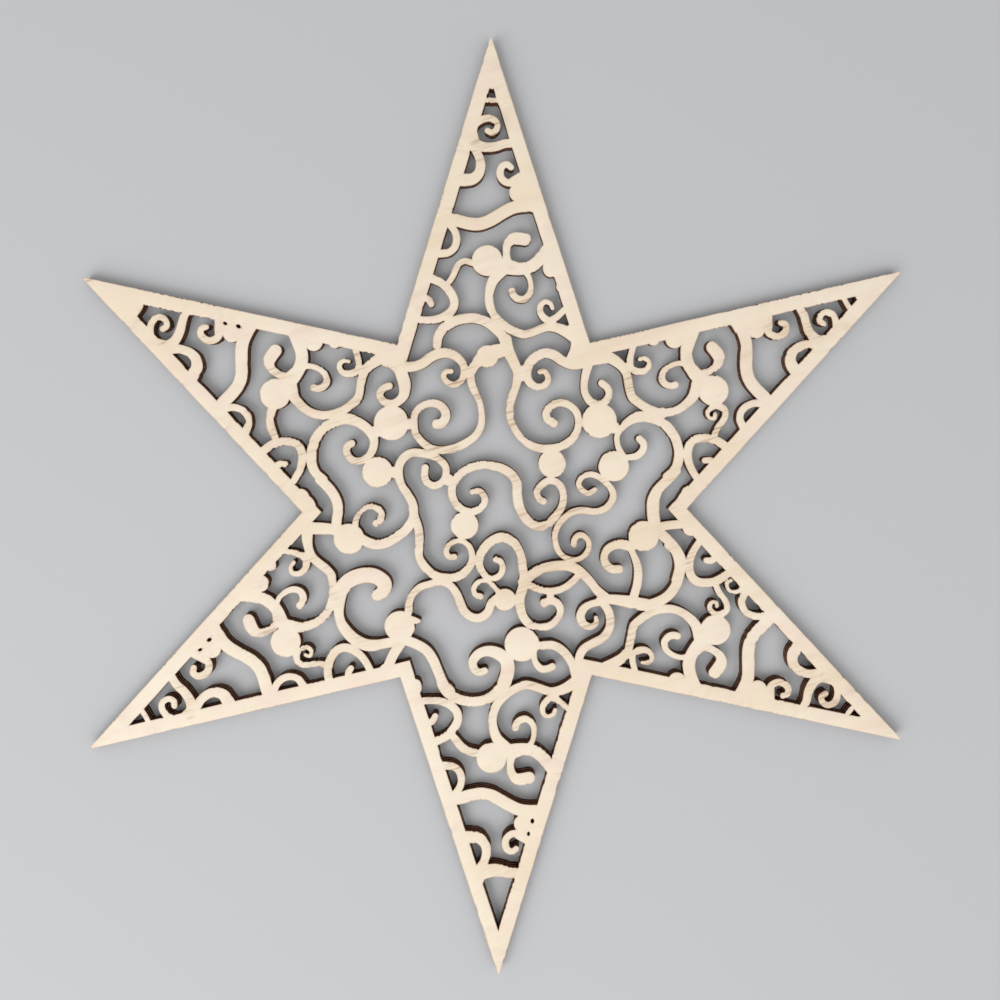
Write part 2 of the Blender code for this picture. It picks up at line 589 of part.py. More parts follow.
def facets(line, allowed):
    # The line as straight facets that lie partly inside and partly outside the curve
    corners = facet_corners(line, allowed)
    ends = corners[1:] + [corners[0] + len(line)]
    offset = [stray(line, a, b).mean() if b - a > 1 else 0 for a, b in zip(corners, ends)]
    spots = line[np.array(corners) % len(line)]
    along = np.roll(spots, -1, axis=0) - spots
    along /= np.linalg.norm(along, axis=1)[:, None]
    shift = np.stack([-along[:, 1], along[:, 0]], axis=1) * np.array(offset)[:, None]
    return blunted(spots + (shift + np.roll(shift, 1, axis=0)) / 2)


def side(a, b, p):
    # Which side of each facet a to b each place p is on
    run = (b - a)[:, None]
    to = p[None] - a[:, None]
    return run[..., 0] * to[..., 1] - run[..., 1] * to[..., 0] > 0


def crossing(outlines):
    # Which outlines cross themselves or another
    a = np.vstack(outlines)
    b = np.vstack([np.roll(outline, -1, axis=0) for outline in outlines])
    owner = np.repeat(np.arange(len(outlines)), [len(outline) for outline in outlines])
    apart = side(a, b, a) != side(a, b, b)
    joined = (a[:, None] == b[None]).all(axis=2)
    return set(owner[np.nonzero(apart & apart.T & ~joined & ~joined.T)[0]])


def faceted_outlines():
    # Facets are shorter round a small opening, and where curves lie too close for long ones
    lines = joined_lines()
    allowed = [min(FACET, SMALL_FACET * math.sqrt(abs(area(line)))) for line in lines]
    outlines = [facets(line, most) for line, most in zip(lines, allowed)]
    for _ in range(RETRIES):
        for k in crossing(outlines):
            allowed[k] *= FINER
            outlines[k] = facets(lines[k], allowed[k])
    return outlines


def make_material(name, colour, roughness):
    material = bpy.data.materials.new(name)
    material.use_nodes = True
    shader = material.node_tree.nodes["Principled BSDF"]
    shader.inputs["Base Color"].default_value = (*colour, 1)
    shader.inputs["Roughness"].default_value = roughness
    shader.inputs["Metallic"].default_value = 0
    return material


def make_veneer(name, bottom, thickness, outlines, material, collection):
    # The wood between the outlines as two flat faces, and a wall along every facet
    corners = np.vstack(outlines)
    count = len(corners)
    ends = np.cumsum([len(outline) for outline in outlines])
    rings = [list(range(end - len(outline), end)) for outline, end in zip(outlines, ends)]
    filled = [ring if area(outline) > 0 else ring[::-1] for ring, outline in zip(rings, outlines)]
    flat = delaunay_2d_cdt([Vector(corner) for corner in corners], [], filled, INSIDE, 0)
    wood = [face for face, owners in zip(flat[2], flat[5]) if len(owners) == 1]
    faces = [(c, b, a) for a, b, c in wood]
    faces += [(a + count, b + count, c + count) for a, b, c in wood]
    for ring in rings:
        faces += [(a, b, b + count, a + count) for a, b in zip(ring, ring[1:] + ring[:1])]
    places = [(x, y, z) for z in (bottom, bottom + thickness) for x, y in corners]
    mesh = bpy.data.meshes.new(name)
    mesh.from_pydata(places, [], faces)
    mesh.materials.append(material)
    collection.objects.link(bpy.data.objects.new(name, mesh))


for old in list(bpy.data.objects):
    bpy.data.objects.remove(old, do_unlink=True)

collection = bpy.data.collections.new(COLLECTION_NAME)
bpy.context.scene.collection.children.link(collection)

outlines = faceted_outlines()
print("openings", len(outlines) - 1, "corners", sum(len(outline) for outline in outlines))

core_bottom = FACE_PLY + GLUE_LINE
front_bottom = core_bottom + CORE_PLY + GLUE_LINE
face_wood = make_material("birch_face", (0.84, 0.71, 0.55), 0.55)
core_wood = make_material("birch_core", (0.55, 0.36, 0.20), 0.65)
back_wood = make_material("birch_back", (0.80, 0.66, 0.49), 0.60)
make_veneer("back_veneer", 0, FACE_PLY, outlines, back_wood, collection)
make_veneer("core_veneer", core_bottom, CORE_PLY, outlines, core_wood, collection)
make_veneer("front_veneer", front_bottom, FACE_PLY, outlines, face_wood, collection)
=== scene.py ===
# Six-pointed star ornament, fret-cut from three-ply birch, lying on a plain floor
import math

import bmesh
import bpy
import numpy as np
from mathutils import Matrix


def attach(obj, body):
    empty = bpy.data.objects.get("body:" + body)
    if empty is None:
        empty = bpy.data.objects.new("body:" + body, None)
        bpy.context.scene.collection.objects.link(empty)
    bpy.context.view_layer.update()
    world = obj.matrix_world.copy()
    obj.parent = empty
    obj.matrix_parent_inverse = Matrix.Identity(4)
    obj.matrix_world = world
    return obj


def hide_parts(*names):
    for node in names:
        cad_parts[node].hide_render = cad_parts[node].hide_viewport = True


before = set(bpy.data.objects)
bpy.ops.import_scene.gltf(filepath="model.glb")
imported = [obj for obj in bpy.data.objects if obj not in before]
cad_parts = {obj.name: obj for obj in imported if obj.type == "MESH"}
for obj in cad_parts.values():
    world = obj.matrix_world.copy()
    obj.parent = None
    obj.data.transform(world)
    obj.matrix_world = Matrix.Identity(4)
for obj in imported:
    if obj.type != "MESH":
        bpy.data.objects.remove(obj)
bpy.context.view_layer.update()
print("frame loaded:", sorted(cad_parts))

# the board, in metres
board = {
    "edgeRadius": 0.135,     # centre to the corner that a point's two edges aim at
    "tipBlunt": 0.0008,      # what is missing of that corner
    "notchRadius": 0.055,
    "frameWidth": 0.0041,
    "cell": 0.00015,         # grid that the cut line is found on
    "stray": 0.000012,       # how far a facet may leave the curve
    "speck": 5e-7,           # smallest opening, square metres
    "margin": 4,             # cells of the grid beyond the star
    "discMargin": 3,         # cells round a disc that are drawn with it
    "weld": 1e-7,            # corners nearer than this are one
    "crease": 35,            # degrees, a sharper edge stays sharp
}
sector = math.pi / 6         # half of the angle that one point takes

# scroll widths
thread = 0.0012
hair = 0.0015
fine = 0.0018
curl = 0.0021
stem = 0.0025
rib = 0.0029
heavy = 0.0036
trunk = 0.0044

# bead radii
pearl = 0.0017
knob = 0.0026
beadS = 0.0032
beadM = 0.0040
beadL = 0.0044
beadXl = 0.0050

# the drawing's own star, and the lean and size of the sheet that the middle was drawn on
drawing = {
    "tip": 476.0,
    "notch": 194.0,
    "sheetCentre": (495.0, 510.3),
    "sheetLean": 0.0185,
    "sheetStretch": 1.0075,
}

# each point of the star: clockwise turn in degrees, mirrored or not, how far its pattern sits
# off its true place, and which of the scrolls and beads below it lacks
starPoints = {
    "top": (0, False, (2, 2), {
        "tendrilCurl", "leafTendril", "edgeCurl", "tipFill", "barRise", "notchBump"}),
    "upperRight": (60, True, (0, 2), {"leafTendril", "edgeCurl", "tipFill", "barRise"}),
    "lowerRight": (120, False, (3, 5), {"leafTendril", "tipFill", "barRise"}),
    "bottom": (180, True, (2, 2), {
        "tipBar", "tipCurl", "tipFill", "tipBud", "barRoot", "tendril", "tendrilCurl",
        "edgeCurl", "scallop", "knobFill"}),
    "lowerLeft": (240, False, (0, 0), {
        "leafTendril", "edgeCurl", "tipFill", "tipBud", "barRise", "knobFill"}),
    "upperLeft": (300, False, (1, 0.5), {
        "tendril", "tendrilCurl", "edgeCurl", "barRise", "knobFill"}),
}

# scrolls of one point, tip up, in drawing units from the centre of the star: the places that
# each passes through and its widths along the way
pointScrolls = {
    "tipBar": ([(-14, 410.5), (-1, 408.7), (12, 409.5)], [hair]),
    "tipCurl": ([
        (-20, 384), (-11, 390), (-3, 391), (3, 386.5), (3, 380), (-1.5, 376.5), (-6, 378.5),
    ], [curl, curl, fine, fine]),
    "upperBar": ([
        (-34, 366), (-18, 363.5), (-6, 362), (3, 363), (11, 365.5), (30, 366),
    ], [heavy, rib, stem, stem]),
    "barRoot": ([(-20.5, 378.5), (-16.8, 367.3), (-9, 363)], [curl]),
    "barRise": ([
        (-22, 378), (-18.5, 370.5), (-10, 367), (0, 366.3), (12, 368.2), (24, 370),
    ], [stem]),
    "upperArch": ([
        (-22.5, 364), (-15.3, 354), (-13.3, 344), (-15.5, 335.8), (-21.5, 330.6), (-29, 329.7),
        (-44, 330),
    ], [stem, stem, rib, heavy, heavy]),
    "upperCurl": ([
        (40, 325), (22, 326.5), (12.5, 327), (7, 331.5), (6, 337.5), (8, 343), (13, 345),
        (17, 342),
    ], [curl, curl, curl, curl, fine]),
    "curlRoot": ([(34, 337), (26, 332.3), (18, 327.5)], [stem]),
    "upperWave": ([
        (-70, 292), (-48, 291), (-38, 289.5), (-27, 286.5), (-17, 285.5), (-8, 287.5), (0, 291.5),
        (9, 297), (18, 301.5), (28, 303.5), (60, 303),
    ], [heavy]),
    "lowerArch": ([
        (-46, 287), (-39.5, 278), (-38, 269.5), (-40.5, 262), (-46, 257.5), (-53, 256.5),
        (-76, 257),
    ], [curl, curl, curl, stem, stem]),
    "hook": ([
        (12, 246), (11.5, 257), (13, 265.5), (18, 270.5), (24, 271), (30.5, 270),
    ], [curl, curl, stem, heavy, heavy]),
    "hookRoot": ([(13, 255), (15.3, 248.4), (22, 245.5)], [thread]),
    "beadStem": ([
        (-2, 244), (12, 241.5), (25, 240.5), (34, 242), (41, 246), (47, 252), (54, 261),
        (66, 276),
    ], [heavy]),
    "bigCurl": ([
        (28, 240), (34, 232.5), (36, 222.5), (34, 214.5), (28.5, 210), (22, 211), (18, 215),
        (17, 218.5),
    ], [fine, hair, fine, curl, curl]),
    "bigRing": ([
        (8, 240), (-1.5, 229.5), (-5.5, 218), (-6, 209), (-4, 200), (0.5, 192), (7, 185.5),
        (15, 180), (22, 177), (28, 175), (36, 176.5), (44, 179.5), (52, 182), (61, 181.5),
        (69, 178.5), (80.5, 171.5),
    ], [heavy, stem, stem, stem, stem, heavy]),
    "ringRoot": ([(-1.5, 225), (2.6, 232.4), (10, 236.7), (18, 238.5)], [thread]),
    "smallCurl": ([
        (58, 186), (49, 191.5), (45, 198), (46, 204.5), (50.5, 207.5), (55.5, 205.5), (57.5, 201),
    ], [curl, curl, fine, hair, thread]),
    "spur": ([(54, 188), (61, 191.5), (67, 197), (76, 206)], [curl, fine, fine]),
    "sideArch": ([
        (-88, 240), (-72, 235), (-62, 231), (-53, 226.5), (-45.5, 219), (-41, 209.5), (-42, 202),
        (-47, 196), (-56, 191.5), (-66, 190), (-94, 192),
    ], [stem, stem, stem, stem, curl, curl]),
    "sideHook": ([(-84, 216), (-73, 213.5), (-66.5, 210.5), (-64, 206)], [curl, curl, fine]),
    "tendril": ([
        (-12, 244), (-23, 247), (-30, 249), (-36, 246), (-39.5, 240), (-42.5, 233), (-48, 226),
    ], [fine]),
    "baseArch": ([
        (-58.7, 165), (-57, 174), (-51.5, 182), (-41, 188.5), (-29, 191.5), (-18, 191),
        (-8.5, 187.5), (0, 181), (7, 173.5), (8.8, 169.5),
    ], [stem, rib, rib, rib, rib, rib]),
    "tendrilCurl": ([
        (-30, 249), (-24, 245), (-21.5, 239), (-23.5, 233), (-29, 231.5), (-32, 235.5),
        (-29, 238.5),
    ], [fine, hair, hair, thread, thread]),
    "edgeCurl": ([
        (-59, 252), (-52.5, 249.5), (-49.5, 244.5), (-50.5, 238.5), (-54.5, 235.5), (-58.5, 237.5),
    ], [fine, thread, thread, thread]),
    "leafTendril": ([
        (-8, 244), (-19, 244.5), (-29, 242.5), (-37, 238), (-42, 232), (-48, 224),
    ], [rib, stem, stem, curl]),
}

pointBeads = {
    "knob": ((24, 316.5), knob),
    "bead": ((-7.5, 249), beadL),
    "scallop": ((57, 241), knob),
    "smallScallop": ((67, 222.5), pearl),
    "knobFill": ((33, 315), pearl),
    "tipFill": ((0, 418), knob),
    "tipBud": ((0, 425.5), pearl),
    "notchBump": ((-86, 176), knob),
}

# scrolls of the middle, on their sheet
middleScrolls = {
    "upperLeftNeck": ([
        (392, 345), (397, 358), (400, 371), (404, 385), (402, 396), (393.5, 402.5), (384, 401),
        (379, 393.5), (382.5, 387.5), (388.5, 385),
    ], [heavy, heavy, heavy, stem, curl, curl]),
    "neckFillet": ([(384, 361), (392, 364.5), (399.5, 372.5), (402.3, 385)], [stem]),
    "upperLeftScroll": ([
        (346, 418), (357, 420.5), (367, 427.5), (373.5, 437.5), (373, 447), (368.5, 455),
        (360.5, 459.5), (352.5, 458.5), (346.5, 451), (347.5, 444.5), (351.5, 442),
    ], [rib, rib, stem, curl, curl, curl]),
    "upperLeftLeg": ([
        (320, 477.5), (329.5, 487), (336, 497), (338.5, 508), (337, 519), (337, 530),
    ], [rib]),
    "longLeftScroll": ([
        (468.5, 370), (470.5, 383), (474.5, 393), (479, 403), (481, 413), (480.5, 424),
        (476, 434), (467, 441.5), (456, 447), (444, 449.5), (432, 448), (422, 441.5), (415, 432),
        (413.5, 421), (415, 412), (421, 405.5), (430, 402.5), (438, 404), (444, 410),
        (445, 416.5), (441, 422.5), (436.5, 423.5),
    ], [stem, fine, stem, curl, curl, rib]),
    "topLeftCurl": ([
        (401, 365.5), (412, 366), (421, 363), (429, 357), (438, 353), (448, 353),
        (456, 357), (462, 364), (463, 373), (460, 380.5), (453, 384.5), (446, 381.5),
        (442.5, 375.5), (445.5, 371), (450, 371),
    ], [rib, rib, rib, curl, fine, hair]),
    "topLink": ([
        (468.5, 374), (474, 364.5), (482, 357.5), (493, 352.5), (505, 349),
    ], [stem, rib, trunk, trunk, heavy]),
    "longRightScroll": ([
        (504, 340), (506.5, 350), (511, 360), (515.5, 370), (516, 379), (514, 388), (511, 397),
        (509, 408), (510.5, 421), (516.5, 433), (525.5, 442.5), (537, 448), (549, 449),
        (561, 446.5), (571, 440), (576.5, 431), (578, 421), (575, 412), (568, 405.5), (559, 403),
        (550.5, 406), (545.5, 412.5), (546.5, 419), (553, 423.5),
    ], [heavy, stem, curl, stem, curl, stem]),
    "topRightCurl": ([
        (604, 358), (592, 360.5), (580, 364), (570, 365), (561, 361.5), (554, 356.5),
        (546, 353.5), (538, 355), (530.5, 360.5), (526, 368.5), (526, 378), (531.5, 385.5),
        (539.5, 387), (546, 383), (546.5, 376), (542.5, 371.5), (538.5, 372),
    ], [heavy, rib, rib, rib, curl, hair]),
    "topRightTie": ([(521.3, 369.2), (521.3, 378)], [curl]),
    "upperRightNeck": ([
        (592, 352), (588, 363), (584.5, 374), (583, 385), (584, 394), (589, 401.5), (597, 405.5),
        (604.5, 402), (608, 395), (606, 388.5), (600.5, 384),
    ], [rib, stem, curl, stem, curl, curl]),
    "upperRightLink": ([
        (645, 417.5), (632, 420), (622.5, 427), (617, 435.5), (616.5, 444), (619.5, 452),
        (624, 460),
    ], [rib, rib, curl, fine, fine, curl]),
    "upperRightLeg": ([
        (676, 472), (668, 481), (659, 490), (654, 500.5), (653.5, 512), (655, 526),
    ], [rib, rib, heavy, heavy]),
    "rightBeadCurl": ([
        (618, 459), (628, 458.5), (636.5, 457), (642.5, 451), (643, 444.5), (639, 440),
    ], [curl, fine, curl, curl, curl]),
    "rightDoubleScroll": ([
        (595, 490.5), (588.5, 494), (582.5, 491), (578.5, 484.5), (582, 478), (589.5, 475),
        (597.5, 477), (604.5, 482), (610.5, 488.5), (613.5, 496), (611, 504), (603.5, 510.5),
        (594, 512.5), (583, 511), (573.5, 512.5), (565.5, 517.5), (558.5, 526), (555.5, 535),
        (556.5, 545), (560.5, 553.5), (568, 559), (577, 560.5), (585, 556.5), (589.5, 549),
        (588.5, 541), (583, 536), (577.5, 537), (574.5, 542), (574.5, 545),
    ], [hair, fine, curl, fine, hair, fine]),
    "heartScroll": ([
        (473, 491.5), (479, 491), (484, 495.5), (485, 501.5), (480, 508.5), (471.5, 511.5),
        (462.5, 509.5), (455.5, 502.5), (451.5, 493.5), (453, 483.5), (459, 475), (468, 468.5),
        (479, 465), (491, 465.5), (502, 468.5), (511, 474), (516.5, 482.5), (517, 493),
        (518.5, 503), (522.5, 514), (530, 522.5), (539, 527), (548.5, 524), (556, 516.5),
        (561.5, 508), (563.5, 498.5), (562, 489.5), (556.5, 482.5), (549, 481), (541.5, 485.5),
        (537, 492), (538.5, 498.5), (543.5, 501.5),
    ], [fine, stem, stem, rib, curl, curl]),
    "leftDoubleScroll": ([
        (425, 467), (424.5, 475), (427, 481.5), (433.5, 485), (441, 482.5), (445.5, 475.5),
        (445.5, 466.5), (440.5, 460), (432, 455), (422, 452.5), (411.5, 452), (403.5, 457),
        (399, 465.5), (399, 475.5), (403, 486), (409.5, 496), (413.5, 506), (413.5, 516),
        (408, 527), (398, 535.5), (387.5, 541.5), (376.5, 543.5), (366, 540), (355, 533),
    ], [curl, curl, stem, stem, rib, rib]),
    "leftBranch": ([
        (413, 508), (415.5, 518), (419, 528.5), (420, 540), (419.5, 550), (421.5, 560),
        (427.5, 568.5), (436, 575), (447, 577.5), (458, 576.5), (467, 571), (472.5, 562),
        (472.5, 552.5), (469, 545), (462, 540.5), (454, 541.5), (448, 546.5), (447, 552.5),
        (450, 556.5), (455, 556.5),
    ], [stem, stem, stem, stem, hair, fine]),
    "leftBar": ([
        (286, 525), (300, 525.5), (314, 526.5), (326, 527), (345, 529),
    ], [heavy, heavy, rib]),
    "leftBeadCurl": ([
        (355.5, 530), (356.5, 518.5), (361, 510.5), (368.5, 505.5), (376.5, 506.5), (381.5, 512),
        (381, 518), (376.5, 522),
    ], [fine, fine, hair, fine, curl, curl]),
    "lowerLeftHook": ([
        (333.5, 605), (336, 594), (343, 585), (352, 578), (362, 574.5), (371, 574), (380, 577.5),
        (385.5, 583.5), (383.5, 590.5), (378.5, 594),
    ], [stem, heavy, trunk, trunk, trunk, heavy]),
    "lowerLeftLeg": ([
        (342.5, 622.5), (349, 631), (357, 638), (366, 642.5), (377, 644), (388, 642.5),
        (402, 640),
    ], [rib]),
    "lowerLeftWave": ([
        (405, 622), (409.5, 611), (410.5, 601), (414.5, 592.5), (421.5, 586.5), (431, 583.5),
        (441.5, 581.5), (451, 585), (457, 592.5), (461, 602), (465.5, 611.5), (473.5, 617.5),
        (481.5, 618), (489, 612.5), (493, 603), (499, 598),
    ], [stem, curl, curl, stem, stem, stem]),
    "thorn": ([(409, 620), (420, 620.5)], [heavy, thread]),
    "smallLoop": ([
        (504, 596), (496.5, 589), (490, 581.5), (483.5, 580.5), (477.5, 583.5), (474.5, 589.5),
        (476.5, 595), (481.5, 596.5),
    ], [fine, hair, hair, hair, hair, fine]),
    "lowerLoop": ([
        (496.5, 559.5), (501.5, 562), (503.5, 568), (501, 575), (494.5, 578.5), (487, 576.5),
        (481.5, 569), (480, 558.5), (484.5, 548.5), (492.5, 541), (502.5, 537.5), (512, 541),
        (518.5, 548), (522, 557), (523.5, 568), (525.5, 579),
    ], [fine, fine, stem, rib, stem, stem]),
    "lowerScroll": ([
        (525.5, 576), (524, 588), (521, 598), (521.5, 608), (525, 618), (532, 625.5), (542, 628),
        (551.5, 626.5), (559, 619.5), (562, 611.5), (558.5, 604), (551.5, 601.5), (545, 604),
    ], [rib, rib, stem, curl, curl, stem]),
    "lensTop": ([
        (524, 582.5), (530, 577.5), (539, 571), (548, 568), (558, 566.5), (568, 566.5),
        (577.5, 570), (585, 576), (591.5, 583), (598.5, 591.5), (608, 600),
    ], [rib, rib, rib, rib, stem, rib]),
    "lensBottom": ([
        (524, 582.5), (532, 586.5), (542, 590.5), (552, 592), (562, 590), (571, 585), (579, 577),
        (581.5, 574),
    ], [curl]),
    "lensStud": ([(551.5, 592), (551.5, 601.5)], [curl]),
    "shoulder": ([(570, 331), (575.3, 342.5), (574.3, 351.5), (570.3, 361)], [heavy]),
    "lowerRightBar": ([
        (601, 602), (609, 600.5), (620, 601.5), (635, 604), (648, 605.5),
    ], [stem, rib, heavy, rib]),
    "rightKnobCurl": ([
        (638, 546), (631, 547.5), (623, 545.5), (614.5, 546.5), (607.5, 551.5), (605, 559),
        (607.5, 566), (613.5, 570.5), (620, 570.5),
    ], [stem, rib, stem, curl, stem, stem]),
    "rightKnobStem": ([
        (629, 546), (635, 557), (639, 570), (639, 582), (636.5, 594), (633, 606),
    ], [curl, curl, stem, stem, stem]),
    "rightBar": ([(704, 527), (688, 526), (672, 526.5), (656, 529)], [rib, stem, stem]),
    "lowerRightLeg": ([
        (655, 530), (666, 539), (675, 549), (680.5, 559.5), (681.5, 570), (678, 582),
    ], [rib, rib, heavy, rib]),
    "bottomScroll": ([
        (505.5, 684), (508.7, 673), (508, 662), (500.5, 654.5), (489.5, 651.5), (480, 654.5),
        (474.5, 662), (476, 669.5), (481.5, 673), (486.5, 671.5),
    ], [heavy, heavy, heavy, rib, stem, curl]),
    "bottomStem": ([(510, 658), (511.5, 671), (507.5, 684), (501, 692)], [rib, rib, heavy]),
    "bottomLeg": ([
        (404, 639), (417, 643.5), (427.5, 650), (434.5, 659.5), (439.5, 671), (444, 681.5),
        (452, 691.5),
    ], [rib]),
    "lowerLeftFoot": ([(403, 642), (396, 652), (391, 663), (386, 676)], [rib]),
    "bottomBranch": ([
        (528, 648), (545, 646.5), (555, 646.5), (564, 651.5), (571, 659.5), (576, 670),
        (580, 684),
    ], [stem, stem, stem, stem, rib]),
    "bottomCurl": ([
        (535, 653.5), (537.5, 663.5), (543, 670), (550, 670), (554.5, 668),
    ], [fine, fine, curl, curl, curl]),
    "lowerRightStem": ([
        (601.5, 601.5), (609, 610.5), (612, 620.5), (611, 630.5), (604.5, 639.5), (594.5, 645),
        (586, 650), (581.5, 658), (580.5, 670.5),
    ], [curl, stem, stem, stem, stem, stem]),
    "lowerRightCurl": ([
        (602, 603.5), (593, 605), (585, 610), (582, 618), (585.5, 625.5), (593, 628),
        (598, 624), (597.5, 619),
    ], [curl, curl, stem, stem, fine, thread]),
}

middleBeads = {
    "upperLeftBead": ((391, 422), beadXl),
    "leftBead": ((377.5, 471), beadL),
    "heartBead": ((552, 464), beadM),
    "upperRightBead": ((598.5, 421.5), beadXl),
    "rightBead": ((613.5, 467), beadL),
    "lowerLeftKnob": ((349.5, 537.5), beadL),
    "innerBead": ((465, 525), beadM),
    "lowerLeftBead": ((401, 625.5), beadL),
    "smallBead": ((506, 600), beadS),
    "rightKnob": ((644.5, 537.5), beadL),
    "bottomBead": ((523.5, 645), beadXl),
    "topBead": ((486, 356.5), beadS),
    "leftNotch": ((302.5, 506), beadM),
    "rightNotch": ((691, 504.5), beadM),
    "lowerLeftFill": ((253.5, 590), pearl),
    "rightArchFill": ((661, 414.5), pearl),
    "beadTieLeft": ((375.5, 430.5), pearl),
    "beadTieRight": ((409, 423), pearl),
    "leftBeadTie": ((393.5, 471.5), pearl),
    "heartTie": ((448.5, 479.5), pearl),
    "rightBeadTie": ((613.5, 428.5), pearl),
}


def edgeDistance(angle, tip, notch):
    off = np.abs((angle - math.pi / 2 + sector) % (2 * sector) - sector)
    return tip * notch * math.sin(sector) / (tip * np.sin(off) + notch * np.sin(sector - off))


def toBoard(places):
    # drawing units to metres, following the outline
    angle = np.arctan2(places[:, 1], places[:, 0])
    scale = edgeDistance(angle, board["edgeRadius"], board["notchRadius"])
    scale /= edgeDistance(angle, drawing["tip"], drawing["notch"])
    return places * scale[:, None]


def turnParts(degrees):
    return math.cos(math.radians(degrees)), math.sin(math.radians(degrees))


def fromPoint(places, turn, mirrored, nudge):
    # a point's own drawing, tip up, turned to its place in the star
    x, y = (np.array(places, float) + nudge).T
    if mirrored:
        x = -x
    c, s = turnParts(turn)
    return np.stack([x * c + y * s, y * c - x * s], axis=1)


def fromSheet(places):
    x, y = (np.array(places, float) - drawing["sheetCentre"]).T
    return np.stack([x - drawing["sheetLean"] * y, -y], axis=1) * drawing["sheetStretch"]


def blend(a, b, start, end, t):
    return ((end - t) * a + (t - start) * b) / (end - start)


def smoothPath(places, steps=16):
    # centripetal Catmull-Rom curve through the drawn places
    p = np.vstack([2 * places[0] - places[1], places, 2 * places[-1] - places[-2]])
    knots = np.concatenate([[0], np.sqrt(np.linalg.norm(np.diff(p, axis=0), axis=1)).cumsum()])
    path = []
    for i in range(len(p) - 3):
        k0, k1, k2, k3 = knots[i:i + 4]
        t = np.linspace(k1, k2, steps, endpoint=False)[:, None]
        a1 = blend(p[i], p[i + 1], k0, k1, t)
        a2 = blend(p[i + 1], p[i + 2], k1, k2, t)
        a3 = blend(p[i + 2], p[i + 3], k2, k3, t)
        b1 = blend(a1, a2, k0, k2, t)
        b2 = blend(a2, a3, k1, k3, t)
        path.append(blend(b1, b2, k1, k2, t))
    return np.vstack(path + [places[-1:]])


def scrollDiscs(places, widths):
    # a scroll as a close row of discs, its width passing evenly through the given widths
    path = toBoard(smoothPath(places))
    run = np.concatenate([[0], np.linalg.norm(np.diff(path, axis=0), axis=1).cumsum()])
    at = np.linspace(0, run[-1], int(run[-1] / board["cell"]) + 2)
    radius = np.interp(at, np.linspace(0, run[-1], len(widths)), widths) / 2
    x, y = (np.interp(at, run, line) for line in path.T)
    return np.stack([x, y, radius], axis=1)


def discAt(place, radius):
    return np.append(toBoard(place)[0], radius)[None]


def woodDiscs():
    discs = []
    for turn, mirrored, nudge, lacking in starPoints.values():
        for name, (places, widths) in pointScrolls.items():
            if name not in lacking:
                discs.append(scrollDiscs(fromPoint(places, turn, mirrored, nudge), widths))
        for name, (place, radius) in pointBeads.items():
            if name not in lacking:
                discs.append(discAt(fromPoint([place], turn, mirrored, nudge), radius))
    for places, widths in middleScrolls.values():
        discs.append(scrollDiscs(fromSheet(places), widths))
    for place, radius in middleBeads.values():
        discs.append(discAt(fromSheet([place]), radius))
    return np.vstack(discs)


# small faults of the cutting: a slight waver of the line, nicks where it follows the grain, and
# pinholes beside the knob of some points, each with its half length towards the tip and its
# half breadth
cutting = {
    "waver": 0.00005,
    "waverLength": 0.0021,
    "nick": 0.00028,
    "nickLength": 0.00045,    # along the grain
    "nickReach": 0.003,       # across it
    "nickPatch": 0.009,       # size of the places that have nicks
    "patchShare": 0.5,
    "patchContrast": 2,
    "grainTurn": 17,          # degrees
    "seed": 7,
    "noiseReach": 1.5,        # half side of the random grids, in star radii
    "pinholes": [((29.5, 327), 0.00060, 0.00042), ((33.5, 314), 0.00070, 0.00052)],
    "pinholeBed": ((33, 315), pearl),
    "pinholePoints": ["upperLeft", "lowerLeft", "bottom"],
    "pinholeReach": 5,        # half lengths round a pinhole that are drawn with it
}


def softNoise(x, y, length):
    # smooth values from -1 to 1 on a coarse grid of random heights
    half = board["edgeRadius"] * cutting["noiseReach"]
    count = int(2 * half / length) + 3
    heights = np.random.default_rng(cutting["seed"]).uniform(-1, 1, (count, count))
    u = (x + half) / length
    v = (y + half) / length
    i = u.astype(int)
    j = v.astype(int)
    u = u - i
    v = v - j
    u = u * u * (3 - 2 * u)
    v = v * v * (3 - 2 * v)
    low = heights[j, i] * (1 - u) + heights[j, i + 1] * u
    high = heights[j + 1, i] * (1 - u) + heights[j + 1, i + 1] * u
    return low * (1 - v) + high * v


def depthInStar(x, y):
    # how far inside the outline, square to the nearest edge
    off = (np.arctan2(y, x) - math.pi / 2 + sector) % (2 * sector) - sector
    out = np.hypot(x, y)
    along = board["notchRadius"] * math.cos(sector) - board["edgeRadius"]
    across = board["notchRadius"] * math.sin(sector)
    side = along * out * np.abs(np.sin(off))
    return (across * (board["edgeRadius"] - out * np.cos(off)) + side) / math.hypot(along, across)


